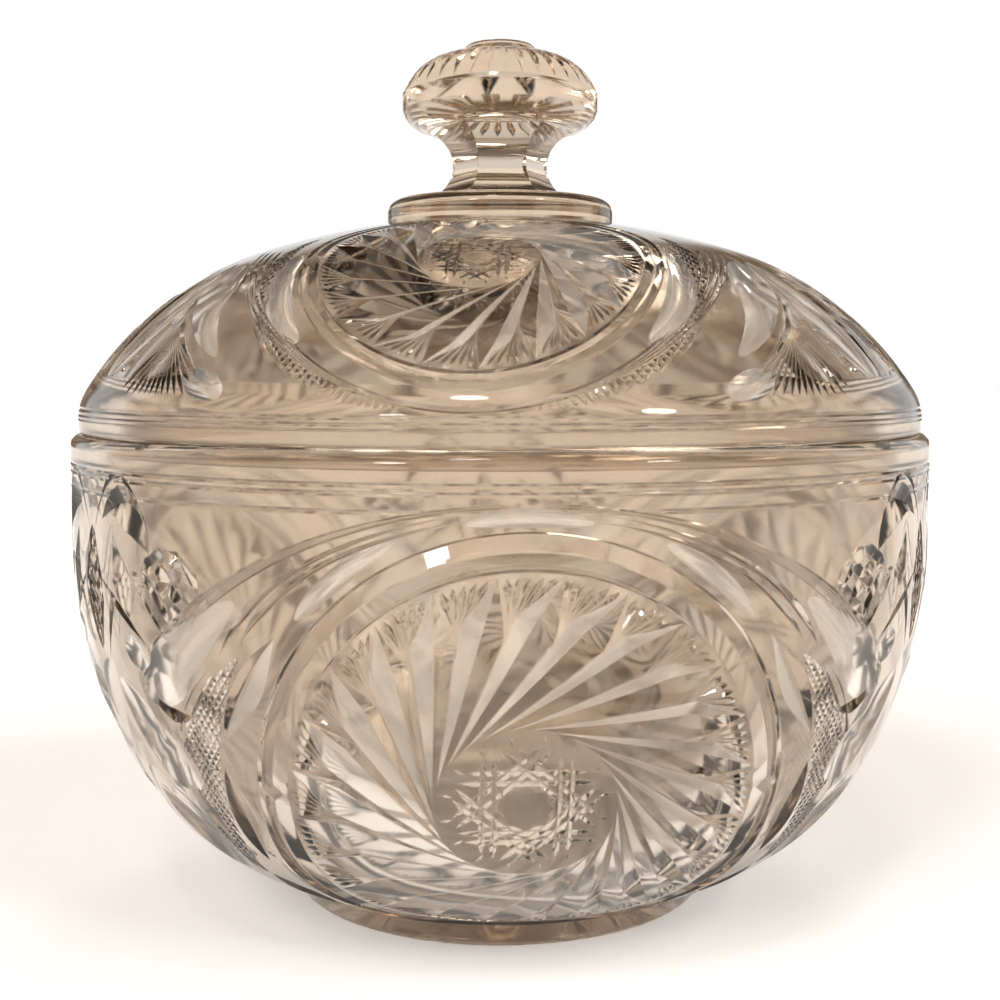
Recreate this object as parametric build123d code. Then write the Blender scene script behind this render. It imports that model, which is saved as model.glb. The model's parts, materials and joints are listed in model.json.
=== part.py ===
from build123d import *
from build123d.topology import SkipClean
import os
from math import acos, asin, atan2, cos, degrees, hypot, radians, sin, sqrt, tan

# Covered biscuit jar of clear pressed glass.
# Two pieces: a round bowl on a low foot ring, and a domed lid with a collar and a grip knob in one with it.
# The origin is on the table under the centre, +Z is up, and the front medallion faces -Y. Millimetres.

# ---- Bowl, outside ----
body_height = 98.5          # table to the flat top of the wall
belly_radius = 90.0         # the widest place, and the upright part of the wall
belly_height = 76.0         # where the upright wall turns into the side curve
side_radius = 93.0          # side curve, from the belly down
side_drop = 46.0            # how far below the belly the side curve ends
heel_radius = 50.0          # heel curve, from there to the foot
shoulder_bevel = 1.8        # bevel of the wall's outer top edge

# ---- Bowl, inside ----
wall = 6.0                  # glass thickness, the same round the side and the heel
floor_thickness = 6.0       # glass thickness over the foot
lip_bevel = 0.8             # bevel of the wall's inner top edge

# ---- Foot ring ----
foot_height = 6.5           # table to where the ring meets the heel
foot_radius = 44.5          # outside of the ring at the table
foot_width = 5.5            # width of the ring where it stands
foot_bevel = 0.8

# ---- Lid ----
rim_overhang = 1.7          # how far the lid's edge stays inside the belly
rim_thickness = 2.4         # height of the lid's edge where the dome starts
rim_bevel = 0.9             # bevel of the edge's underside
dome_shoulder = 12.0        # radius of the dome's curve at its edge, more than the lid's thickness
dome_shoulder_turn = 32.0   # degrees that it turns
dome_haunch = 67.0          # radius of the curve above it
dome_haunch_turn = 40.5     # degrees that it turns, and the crown turns the rest
lid_thickness = 5.0         # glass thickness in the middle of the dome
flange_clearance = 1.2      # gap all round between the locating flange and the mouth
flange_width = 2.6
flange_depth = 3.5          # how far the flange reaches down into the mouth

# ---- Collar and knob ----
collar_radius = 24.1
collar_step = 3.9           # how far the collar stands above the top of the dome's curve
collar_rounding = 2.6
stem_sides = 6
waist_width = 17.4          # across the flats of the stem
waist_rise = 7.4            # collar top to the narrowest place
stem_curve = 7.8            # radius of the hollow curve of each side of the stem, more than the rise
stem_corner = 1.6           # how far the stem's corners stand out where it spreads, over its flats
knob_radius = 20.8
knob_height = 32.8          # collar top to the top of the boss
knob_band_low = 18.8        # collar top to the lower edge of the plain band round the knob
knob_band_high = 22.2       # collar top to its upper edge
knob_dome_radius = 12.5     # curve of the fluted top
boss_radius = 7.6
boss_height = 2.4
boss_rounding = 1.4
knob_flutes = 36
knob_flute_margin = 0.07    # share of the fluted curve left plain at each end of a flute
knob_flute_spare = 0.8      # how far a flute's cutter runs on past both its points
knob_flute_slope = 38.0     # degrees from upright to each side of a flute

# ---- Pressed pattern ----
medallions = 3              # round the bowl, and as many round the lid
lid_turn = -6.5             # degrees that the lid's medallions lie round from the bowl's
blade_slope = 66.0          # degrees from upright to each side of a blade's groove
star_slope = 45.0           # and of a hub's grooves
star_turns = 4              # the hub's star is pairs of grooves, turned by equal steps
cut_height = 2.4            # height of a V-shaped cutter's section, more than its depth
hub_drop = 60.5             # bowl: rim to the middle of a medallion's hub, along the glass
hub_radius = 15.5
blades = 24
blade_reach = 40.5          # hub's middle to the outer point of a blade's groove
blade_depths = (0.0, 1.15, -0.2)    # at the hub, half way and at the outer point, where it is out of the glass
star_offset = 6.3           # hub's middle to each of its grooves
star_reach = 10.5           # half the length of each
star_depth = 0.6
lid_hub_run = 41.5          # lid: edge of the dome to the middle of a hub, along the glass
lid_scale = 0.7             # size of a lid's medallion over a bowl's
lid_blades = 20

# ---- Smooth flutes beside the medallions: from one end to the other, across and up from the hub's middle ----
flute_clear = 0.4           # how far both ends of a flute's cutter stay out of the glass
lens_radius = 6.0           # section of the two short flutes beside a bowl medallion's frame
lens_depth = 1.0
lens_ends = [((43, 31), (52.5, 11)), ((53.5, 1), (50, -18))]
petal_radius = 12.0         # section of the broad flute outside them
petal_depth = 1.2
petal_ends = [((45, 36), (80, 13))]
lid_petal_ends = [((36, -18), (56, 2))]

# ---- Derived places ----
share = 360 / medallions
side_turn = asin(side_drop / side_radius)
side_end = Vector(belly_radius - side_radius * (1 - cos(side_turn)), belly_height - side_drop)
heel_centre = side_end + Vector(-heel_radius * cos(side_turn), heel_radius * sin(side_turn))
heel_start_turn = acos((heel_centre.Y - foot_height) / heel_radius)
floor_top = heel_centre.Y - heel_radius + wall
mouth_radius = belly_radius - wall
rim_radius = belly_radius - rim_overhang
flange_radius = mouth_radius - flange_clearance
dome_base = body_height + rim_thickness
stem_flat = waist_width / 2 + stem_curve - sqrt(stem_curve ** 2 - waist_rise ** 2)
stem_spread = stem_flat + stem_corner


def bowl_curve():
    """The bowl's outside from the foot up: heel, side and upright wall."""
    foot_joint = heel_centre + Vector(sin(heel_start_turn), -cos(heel_start_turn)) * heel_radius
    along = (cos(heel_start_turn), sin(heel_start_turn))
    heel = JernArc(foot_joint, along, heel_radius, 90 - degrees(side_turn + heel_start_turn))
    side = JernArc(heel @ 1, heel % 1, side_radius, degrees(side_turn))
    upright = Line(side @ 1, (belly_radius, body_height))
    return [heel, side, upright]


def dome_curve(depth):
    """The three tangent arcs of the dome from its edge to the middle, sunk by depth into the glass."""
    shoulder = JernArc((rim_radius - depth, dome_base), (0, 1), dome_shoulder - depth, dome_shoulder_turn)
    haunch = JernArc(shoulder @ 1, shoulder % 1, dome_haunch - depth, dome_haunch_turn)
    crown_turn = 90 - dome_shoulder_turn - dome_haunch_turn
    crown_radius = (haunch @ 1).X / sin(radians(crown_turn))
    crown = JernArc(haunch @ 1, haunch % 1, crown_radius, crown_turn)
    return [shoulder, haunch, crown]


bowl_outline = Wire(bowl_curve())
dome_outline = Wire(dome_curve(0))
hub_run = bowl_outline.length - hub_drop
collar_height = (dome_outline @ 1).Y + collar_step


def bowl():
    """The plain bowl: a turned profile with a foot ring below and a flat rim for the lid above."""
    outside = bowl_curve()
    foot_inner = foot_radius - foot_width
    recess = floor_top - floor_thickness
    top = Polyline(outside[-1] @ 1, (mouth_radius, body_height), (mouth_radius, belly_height))
    inner_side = JernArc(top @ 1, (0, -1), side_radius - wall, -degrees(side_turn))
    inner_heel = JernArc(inner_side @ 1, inner_side % 1, heel_radius - wall, degrees(side_turn) - 90)
    underside = Polyline(
        inner_heel @ 1,
        (0, floor_top),
        (0, recess),
        (foot_inner - recess, recess),
        (foot_inner, 0),
        (foot_radius, 0),
        outside[0] @ 0,
    )
    section = make_face(Curve() + outside + [top, inner_side, inner_heel, underside])
    section = chamfer(corner(section, belly_radius, body_height), shoulder_bevel)
    section = chamfer(corner(section, mouth_radius, body_height), lip_bevel)
    section = chamfer(corner(section, foot_radius, 0), foot_bevel)
    section = chamfer(corner(section, foot_inner, 0), foot_bevel)
    return turned(section)


def turned(section):
    """Turn a section round the axis over one medallion's share of the circle, with its middle at the front."""
    return Rot(0, 0, -90 - share / 2) * revolve(Plane.XZ * section, Axis.Z, share)


def all_round(piece, turn=0.0):
    """Join copies of one medallion's share to the whole, the first turned from the front by the given angle."""
    return Part() + [Rot(0, 0, turn + share * number) * piece for number in range(medallions)]


def corner(section, radius, height):
    """The corner of a flat section that is nearest to the given radius and height."""
    return min(section.vertices(), key=lambda vertex: (vertex.center() - Vector(radius, height)).length)


def place(outline, run, across, up, depth=0.0):
    """The point that lies across and up from the point of an outline at the given run, sunk by depth.

    The outline is turned round the axis. Both distances are measured along the glass, so a pattern keeps its
    size as it bends round, and outlines start at their lower end, so that up is up.
    """
    here = outline.position_at(run + up, position_mode=PositionMode.LENGTH)
    along = outline.tangent_at(run + up, position_mode=PositionMode.LENGTH)
    angle = across / here.X
    reach = here.X - depth * along.Y
    return Vector(reach * sin(angle), -reach * cos(angle), here.Y + depth * along.X)


def vee(slope):
    """The section of a V-shaped cutter, with its edge at the origin and its open side up."""
    half_width = cut_height * tan(radians(slope))
    return make_face(Polyline((0, 0), (half_width, cut_height), (-half_width, cut_height), close=True))


def cutter(outline, run, start, end, depths, section):
    """Carry a section along an arc in the glass, from start to end, each given across and up.

    The arc has the first depth at the start, the second in the middle and the third at the end.
    """
    middle = ((start[0] + end[0]) / 2, (start[1] + end[1]) / 2)
    first, halfway, last = [
        place(outline, run, *point, depth) for point, depth in zip((start, middle, end), depths)
    ]
    arc = ThreePointArc(first, halfway, last)
    outward = place(outline, run, *start) - place(outline, run, *start, 1)
    plane = Plane(origin=first, x_dir=outward.cross(arc % 0), z_dir=arc % 0)
    centre = arc.arc_center
    axis = Axis(centre, (first - centre).cross(halfway - centre))
    return revolve(plane * section, axis, degrees(arc.length / arc.radius))


def pinwheel(outline, run, scale, blade_count):
    """The cutters of one medallion's blades: leaf-shaped grooves that leave the round hub sideways, as a whirl."""
    start_radius = scale * hub_radius
    length = scale * sqrt(blade_reach ** 2 - hub_radius ** 2)
    cutters = []
    for index in range(blade_count):
        turn = radians(360 / blade_count * index)
        start = (start_radius * cos(turn), start_radius * sin(turn))
        end = (start[0] + length * sin(turn), start[1] - length * cos(turn))
        depths = [scale * depth for depth in blade_depths]
        cutters.append(cutter(outline, run, start, end, depths, vee(blade_slope)))
    return cutters


def star(outline, run, scale):
    """The cutters of one hub's star: pairs of grooves, turned by equal steps."""
    cutters = []
    for index in range(star_turns):
        turn = radians(180 / star_turns * index)
        for side in (-1, 1):
            middle = Vector(-sin(turn), cos(turn)) * side * star_offset * scale
            half = Vector(cos(turn), sin(turn)) * star_reach * scale
            start = middle - half
            end = middle + half
            depths = (-flute_clear, star_depth, -flute_clear)
            section = vee(star_slope)
            cutters.append(cutter(outline, run, (start.X, start.Y), (end.X, end.Y), depths, section))
    return cutters


def flutes(outline, run, ends, radius, depth):
    """Cutters of round section for smooth flutes, on both sides of a medallion."""
    section = Pos(0, radius) * Circle(radius)
    depths = (-flute_clear, depth, -flute_clear)
    cutters = []
    for start, end in ends:
        for side in (-1, 1):
            side_start = (side * start[0], start[1])
            side_end = (side * end[0], end[1])
            cutters.append(cutter(outline, run, side_start, side_end, depths, section))
    return cutters


def under(curve, bottom):
    """The flat section between a dome curve, the axis and a level below."""
    sides = Polyline(curve[-1] @ 1, (0, bottom), ((curve[0] @ 0).X, bottom), curve[0] @ 0)
    return make_face(Curve() + curve + [sides])


def block(inner, outer, low, high):
    """A rectangle of the section, by its two radii and its two heights."""
    return Pos(inner, low) * Rectangle(outer - inner, high - low, align=(Align.MIN, Align.MIN))


def dome():
    """The lid's dome: a turned profile with a locating flange below and a collar on top."""
    flange_low = body_height - flange_depth
    flange_inner = flange_radius - flange_width
    section = under(dome_curve(0), body_height)
    section += block(0, collar_radius, dome_base, collar_height)
    section += block(flange_inner, flange_radius, flange_low, dome_base)
    section -= under(dome_curve(lid_thickness), flange_low) & block(0, flange_inner, flange_low, collar_height)
    section = chamfer(corner(section, rim_radius, body_height), rim_bevel)
    section = fillet(corner(section, collar_radius, collar_height), collar_rounding)
    return turned(section)


def stem():
    """The stem: a cylinder with a hollow curve cut into each of its sides, one of which faces the front."""
    middle = collar_height + waist_rise
    hollow = ThreePointArc(
        (stem_flat, middle - waist_rise),
        (waist_width / 2, middle),
        (stem_flat, middle + waist_rise),
    )
    outside = Polyline(
        hollow @ 1,
        (2 * stem_spread, middle + waist_rise),
        (2 * stem_spread, middle - waist_rise),
        hollow @ 0,
    )
    hollow_cutter = extrude(Plane.XZ * make_face(Curve() + [hollow, outside]), 2 * stem_spread, both=True)
    blank = Pos(0, 0, middle) * Cylinder(stem_spread, 2 * waist_rise)
    side_share = 360 / stem_sides
    return blank - [Rot(0, 0, side_share * index - 90) * hollow_cutter for index in range(stem_sides)]


def knob_top_curve():
    """The curve of the knob's fluted top, from its plain band up to the boss."""
    band_top = (knob_radius, collar_height + knob_band_high)
    boss_foot = (boss_radius, collar_height + knob_height - boss_height)
    return RadiusArc(band_top, boss_foot, -knob_dome_radius)


def knob():
    """The grip knob: a turned cap with a plain band, leaf-shaped flutes round its top and a round boss."""
    stem_top = collar_height + 2 * waist_rise
    top = collar_height + knob_height
    cheek_run = knob_radius - stem_spread
    cheek_rise = knob_band_low - 2 * waist_rise
    half_turn = atan2(cheek_rise, cheek_run)
    cheek_radius = hypot(cheek_run, cheek_rise) / 2 / sin(half_turn)
    cheek = JernArc((stem_spread, stem_top), (1, 0), cheek_radius, degrees(2 * half_turn))
    fluted_top = knob_top_curve()
    band = Line(cheek @ 1, fluted_top @ 0)
    boss = Polyline(fluted_top @ 1, (boss_radius, top), (0, top), (0, stem_top), cheek @ 0)
    section = make_face(Curve() + [cheek, band, fluted_top, boss])
    section = fillet(corner(section, boss_radius, top), boss_rounding)
    return revolve(Plane.XZ * section, Axis.Z) - knob_flute_cutters()


def knob_flute_cutters():
    """V-shaped cutters for the leaf-shaped flutes between the knob's plain band and its boss."""
    curve = knob_top_curve()
    low = curve @ knob_flute_margin
    high = curve @ (1 - knob_flute_margin)
    spare = (high - low).normalized() * knob_flute_spare
    start = Vector(0, -(low - spare).X, (low - spare).Y)
    end = Vector(0, -(high + spare).X, (high + spare).Y)
    outward = Vector(0, start.Z - end.Z, end.Y - start.Y)
    plane = Plane(origin=start, x_dir=outward.cross(end - start), z_dir=end - start)
    leaf = extrude(plane * vee(knob_flute_slope), (end - start).length)
    return [Rot(0, 0, 360 / knob_flutes * index) * leaf for index in range(knob_flutes)]


os.makedirs("parts", exist_ok=True)

bowl_pattern = pinwheel(bowl_outline, hub_run, 1, blades)
bowl_pattern += star(bowl_outline, hub_run, 1)
bowl_pattern += flutes(bowl_outline, hub_run, lens_ends, lens_radius, lens_depth)
bowl_pattern += flutes(bowl_outline, hub_run, petal_ends, petal_radius, petal_depth)
bowl_share = bowl() - bowl_pattern

lid_pattern = pinwheel(dome_outline, lid_hub_run, lid_scale, lid_blades)
lid_pattern += star(dome_outline, lid_hub_run, lid_scale)
lid_pattern += flutes(dome_outline, lid_hub_run, lid_petal_ends, petal_radius, petal_depth)
dome_share = dome() - lid_pattern
handle = stem() + knob()

# The shares are joined with their seams left in, and spline surfaces keep the cut round faces simple.
with SkipClean():
    jar_body = all_round(bowl_share).to_splines()
    lid = (all_round(dome_share, lid_turn) + handle).to_splines()

export_step(jar_body, "parts/jar_body.step")
export_step(lid, "parts/lid.step")
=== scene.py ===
# %% [markdown]
# # A covered biscuit jar of pressed glass
# The real jar is two castings: a round bowl on a foot ring, and a domed lid with its knob. Hot glass is
# pressed into an iron mould that carries the pattern, so every groove and leaf stands in the glass itself.
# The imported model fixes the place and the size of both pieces, and we make the detailed glass inside that
# box.

# %% Load the frame
import bpy
import bmesh
import json
import math
import numpy as np
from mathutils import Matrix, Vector

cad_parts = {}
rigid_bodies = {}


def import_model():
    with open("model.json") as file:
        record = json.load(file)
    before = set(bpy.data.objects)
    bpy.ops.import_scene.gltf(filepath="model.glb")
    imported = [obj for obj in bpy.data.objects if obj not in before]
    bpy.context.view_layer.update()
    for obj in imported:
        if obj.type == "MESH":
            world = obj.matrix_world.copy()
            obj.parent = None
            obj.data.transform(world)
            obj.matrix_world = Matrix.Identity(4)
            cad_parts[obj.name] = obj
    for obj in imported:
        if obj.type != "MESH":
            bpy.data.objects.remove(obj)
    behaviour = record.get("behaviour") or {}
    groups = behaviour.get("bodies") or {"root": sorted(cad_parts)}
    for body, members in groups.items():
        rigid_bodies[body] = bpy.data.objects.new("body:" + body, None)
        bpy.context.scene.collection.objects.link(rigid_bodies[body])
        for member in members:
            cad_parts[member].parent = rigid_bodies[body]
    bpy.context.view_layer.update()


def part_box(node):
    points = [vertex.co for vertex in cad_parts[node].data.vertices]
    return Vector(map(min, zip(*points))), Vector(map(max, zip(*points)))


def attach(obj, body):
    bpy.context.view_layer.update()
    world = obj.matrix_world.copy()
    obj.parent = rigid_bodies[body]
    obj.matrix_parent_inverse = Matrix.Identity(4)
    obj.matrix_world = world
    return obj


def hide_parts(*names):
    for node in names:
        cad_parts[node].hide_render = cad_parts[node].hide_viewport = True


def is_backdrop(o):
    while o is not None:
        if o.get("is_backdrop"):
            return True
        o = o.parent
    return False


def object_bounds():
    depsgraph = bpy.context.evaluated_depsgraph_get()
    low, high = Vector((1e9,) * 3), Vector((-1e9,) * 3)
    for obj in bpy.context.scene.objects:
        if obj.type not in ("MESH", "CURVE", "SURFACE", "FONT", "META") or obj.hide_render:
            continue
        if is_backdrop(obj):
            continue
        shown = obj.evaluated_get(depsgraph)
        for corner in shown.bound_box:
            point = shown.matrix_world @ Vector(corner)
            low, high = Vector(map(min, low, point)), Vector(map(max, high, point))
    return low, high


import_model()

MM = 0.001
bowl_low, bowl_high = (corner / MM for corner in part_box("jar_body"))
lid_low, lid_high = (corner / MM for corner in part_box("lid"))
for name, low, high in (("bowl", bowl_low, bowl_high), ("lid", lid_low, lid_high)):
    print("the", name, "fills", [round(size, 1) for size in high - low], "mm")

# %% [markdown]
# ## The outline of a turned piece
# Both pieces are round, so each is one outline turned about the axis. A lathe modifier on a drawn curve
# would do, but glass shows every flat spot, and the pattern is laid out along the glass. So the outline is
# a chain of lines and arcs that tells the radius, the height and the direction that the surface faces.

# %% Lines and arcs of an outline
ARC_STEP = 1.9


def polar(centre, radius, degrees):
    """The point at a distance from a centre, in a direction given in degrees."""
    angle = math.radians(degrees)
    return (centre[0] + radius * math.cos(angle), centre[1] + radius * math.sin(angle))


def line(start, end):
    """A straight run. Its points carry the direction that they face, to the right of the run."""
    (r0, z0), (r1, z1) = start, end
    length = math.hypot(r1 - r0, z1 - z0)
    facing = ((z1 - z0) / length, -(r1 - r0) / length)
    return [(r0, z0, *facing), (r1, z1, *facing)]


def arc(centre, radius, start, end):
    """A round run between two angles in degrees. It faces outward if it turns left, else inward."""
    steps = max(3, round(abs(math.radians(end - start)) * radius / ARC_STEP))
    sign = 1 if end > start else -1
    points = []
    for step in range(steps + 1):
        degrees = start + (end - start) * step / steps
        out, up = polar((0, 0), 1, degrees)
        points.append((*polar(centre, radius, degrees), sign * out, sign * up))
    return points


def tip(run, end=-1):
    """The first or the last point of a run."""
    return run[end][:2]


print("a quarter circle of 50 mm is", len(arc((0, 0), 50, 0, 90)) - 1, "chords")

# %% [markdown]
# ## The bowl's outline
# From the foot up, the outside is a tight heel, a long side and an upright wall. Each meets the next
# without a corner, as the mould's turned cavity does.

# %% Bowl, outside
BELLY_RADIUS = bowl_high.x
RIM_HEIGHT = bowl_high.z
BELLY_HEIGHT = 76.0
SIDE_RADIUS = 93.0
SIDE_DROP = 46.0
HEEL_RADIUS = 50.0
FOOT_HEIGHT = 6.5
FOOT_RADIUS = 44.5
FOOT_WIDTH = 5.5
FOOT_BEVEL = 0.8
WALL = 6.0
FLOOR = 6.0
SHOULDER = 2.5
LIP = 0.8

side_turn = math.degrees(math.asin(SIDE_DROP / SIDE_RADIUS))
side_centre = (BELLY_RADIUS - SIDE_RADIUS, BELLY_HEIGHT)
side = arc(side_centre, SIDE_RADIUS, -side_turn, 0)
heel_centre = (
    tip(side, 0)[0] - HEEL_RADIUS * math.cos(math.radians(side_turn)),
    tip(side, 0)[1] + HEEL_RADIUS * math.sin(math.radians(side_turn)),
)
heel_start = math.degrees(math.asin((heel_centre[1] - FOOT_HEIGHT) / HEEL_RADIUS))
heel = arc(heel_centre, HEEL_RADIUS, -heel_start, -side_turn)
wall_outside = line((BELLY_RADIUS, BELLY_HEIGHT), (BELLY_RADIUS, RIM_HEIGHT - SHOULDER))
bowl_outside = heel + side + wall_outside
print("the heel meets the foot at radius", round(tip(heel, 0)[0], 2), "mm")

# %% [markdown]
# The inside follows at the wall's thickness, as a plunger of the same form presses it. The rim's flat top
# is the lid's seat. The underside is a shallow recess, so the jar stands on a ring.

# %% Bowl, inside and foot
MOUTH_RADIUS = BELLY_RADIUS - WALL
floor_top = heel_centre[1] - HEEL_RADIUS + WALL
recess = floor_top - FLOOR
foot_inner = FOOT_RADIUS - FOOT_WIDTH
print("inside", round(2 * MOUTH_RADIUS, 1), "mm wide and", round(RIM_HEIGHT - floor_top, 1), "mm deep")

shoulder = arc((BELLY_RADIUS - SHOULDER, RIM_HEIGHT - SHOULDER), SHOULDER, 0, 90)
lip = arc((MOUTH_RADIUS + LIP, RIM_HEIGHT - LIP), LIP, 90, 180)
seat = line(tip(shoulder), tip(lip, 0))
wall_inside = line(tip(lip), (MOUTH_RADIUS, BELLY_HEIGHT))
side_inside = arc(side_centre, SIDE_RADIUS - WALL, 0, -side_turn)
heel_inside = arc(heel_centre, HEEL_RADIUS - WALL, -side_turn, -90)
floor_inside = line(tip(heel_inside), (0, floor_top))
foot_outer_bevel = arc((FOOT_RADIUS - FOOT_BEVEL, FOOT_BEVEL), FOOT_BEVEL, -90, -20)
foot_inner_bevel = arc((foot_inner + FOOT_BEVEL, FOOT_BEVEL), FOOT_BEVEL, -170, -90)
underside = line((0, recess), (foot_inner - recess, recess))
recess_wall = line(tip(underside), tip(foot_inner_bevel, 0))
foot_face = line(tip(foot_inner_bevel), tip(foot_outer_bevel, 0))
foot_side = line(tip(foot_outer_bevel), tip(heel, 0))
bowl_runs = [
    underside, recess_wall, foot_inner_bevel, foot_face, foot_outer_bevel, foot_side,
    heel, side, wall_outside, shoulder, seat, lip, wall_inside, side_inside, heel_inside, floor_inside,
]

# %% [markdown]
# ## Turning the outline
# A Screw modifier would turn the outline too, but it would leave rings of long faces. Here long runs are
# split, so that the faces stay short and the cuts clean.

# %% Turn a chain of runs into a closed mesh
TURN_STEPS = 300
LINE_STEP = 3.0
TINY = 1e-6


def split(run):
    """Split a run's long spans, and keep the direction that each new point faces."""
    points = [run[0]]
    for first, last in zip(run, run[1:]):
        parts = max(1, round(math.hypot(last[0] - first[0], last[1] - first[1]) / LINE_STEP))
        for part in range(1, parts + 1):
            share = part / parts
            points.append(tuple(a + (b - a) * share for a, b in zip(first, last)))
    return points


def turn_mesh(name, runs):
    """Turn a closed chain of runs about the axis, from its first point on the axis to its last."""
    points = [split(runs[0])[0]]
    for run in runs:
        points += split(run)[1:]
    mesh = bpy.data.meshes.new(name)
    vertices, rings = [], []
    for r, z, *_ in points:
        count = 1 if r < TINY else TURN_STEPS
        rings.append(range(len(vertices), len(vertices) + count))
        for step in range(count):
            angle = 2 * math.pi * step / TURN_STEPS
            vertices.append((r * math.cos(angle) * MM, r * math.sin(angle) * MM, z * MM))
    faces = []
    for low, high in zip(rings, rings[1:]):
        for step in range(TURN_STEPS):
            after = (step + 1) % TURN_STEPS
            walk = ((low, step), (low, after), (high, after), (high, step))
            faces.append(list(dict.fromkeys(ring[at % len(ring)] for ring, at in walk)))
    mesh.from_pydata(vertices, [], faces)
    mesh.update()
    piece = bpy.data.objects.new(name, mesh)
    bpy.context.collection.objects.link(piece)
    return piece


print("the bowl turns", sum(len(split(run)) - 1 for run in bowl_runs), "spans in", TURN_STEPS, "steps")

# %% [markdown]
# ## Laying a pattern on round glass
# The mould maker lays the pattern out flat and wraps it round the cavity. So do we: a place is how far it
# lies across and up from the middle of a medallion, measured along the glass, and how deep it is sunk. The
# same drawing then fits the bowl and the lid.

# %% A place on the glass
OUTLINE_GRAIN = 0.05


class Glass:
    """A turned outside, with the middle of its medallions at a distance along it from its lower end."""

    def __init__(self, outside, hub_run):
        points = np.array(outside)
        keep = np.r_[True, np.hypot(*np.diff(points[:, :2], axis=0).T) > TINY]
        points = points[keep]
        run = np.r_[0, np.cumsum(np.hypot(*np.diff(points[:, :2], axis=0).T))]
        self.length = run[-1]
        grains = np.arange(0, self.length, OUTLINE_GRAIN)
        self.stations = np.column_stack([np.interp(grains, run, column) for column in points.T]).tolist()
        self.hub_run = hub_run

    def place(self, across, up, depth=0.0, turn=0.0):
        """The point across and up from the medallion's middle, sunk by depth, turned from the front."""
        station = round((self.hub_run + up) / OUTLINE_GRAIN)
        radius, height, face_r, face_z = self.stations[max(0, min(station, len(self.stations) - 1))]
        angle = across / radius + turn
        reach = radius - depth * face_r
        return Vector((reach * math.sin(angle), -reach * math.cos(angle), height - depth * face_z)) * MM


HUB_DROP = 60.5
bowl_glass = Glass(bowl_outside + shoulder, 0)
rim_run = bowl_glass.length - SHOULDER * (math.pi / 2 - 1)
bowl_glass.hub_run = rim_run - HUB_DROP
print("the bowl's outline is", round(bowl_glass.length, 1), "mm long")
print("the middle of its medallions lies", round(bowl_glass.hub_run, 1), "mm up along it")

# %% [markdown]
# ## Cutters
# A groove is a V or a round hollow that follows the surface. Displacement would never give a crisp facet,
# so each groove gets its own closed cutter, carried along a path in the glass. Where the path comes up out
# of the glass, the groove ends in a point, which gives the leaf shapes without drawing them.

# %% Paths in the glass
PATH_STEP = 2.4
LIFT = 0.04
ROUND_LIFT = 0.3
RUN_OUT = 0.03


def along(start, end, depth, middle=None):
    """Stations on a straight path, or a bow through a middle. depth is a function from 0 to 1."""
    start, end = np.array(start, float), np.array(end, float)
    if middle is None:
        spot = lambda t: start * (1 - t) + end * t
    else:
        control = 2 * np.array(middle, float) - (start + end) / 2
        spot = lambda t: (1 - t) ** 2 * start + 2 * t * (1 - t) * control + t ** 2 * end
    count = max(4, math.ceil(np.linalg.norm(start - end) / PATH_STEP))
    return [(*spot(step / count), depth(step / count)) for step in range(count + 1)]


def stroke(side, points, depth):
    """A path through two or three points of the drawing's right half, mirrored where side is -1."""
    start, *middle, end = [(side * x, y) for x, y in points]
    return along(start, end, depth, *middle)


def leaf(depth, peak=0.5):
    """A depth that rises evenly from nothing to a peak and falls again, so that a V becomes a kite."""
    return lambda t: depth * min(t / peak, (1 - t) / (1 - peak)) - LIFT


def swell(depth, peak=0.5):
    """A depth that rises and falls smoothly, so that a round cut becomes a petal."""
    power = math.log(0.5) / math.log(peak)
    return lambda t: (depth + ROUND_LIFT) * math.sin(math.pi * t ** power) - ROUND_LIFT


def drop(depth, peak=0.75):
    """A depth that leaves the surface gently and ends roundly, so that a round cut gets one long point."""
    def profile(t):
        share = (t / peak) ** 2 if t < peak else 1 - ((t - peak) / (1 - peak)) ** 2
        return (depth + ROUND_LIFT) * share - ROUND_LIFT
    return profile


def even(depth):
    """The same depth all along, with short ends that run out of the glass."""
    return lambda t: depth if RUN_OUT < t < 1 - RUN_OUT else -LIFT


print("a stroke of 20 mm has", len(along((0, 0), (20, 0), leaf(1))), "stations")

# %% [markdown]
# Each side of a cutter carries a mark for the material, which paints light and shade into the colour. A
# broad, shallow side is painted light as a highlight, where real glass throws light back. A steep one is
# painted dark as shade, where real glass looks deep into itself. The rest is crisp, plain glass.

# %% A V-shaped and a round cutter
CLEAR = 0.8
ROUND_POINTS = 11


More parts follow.
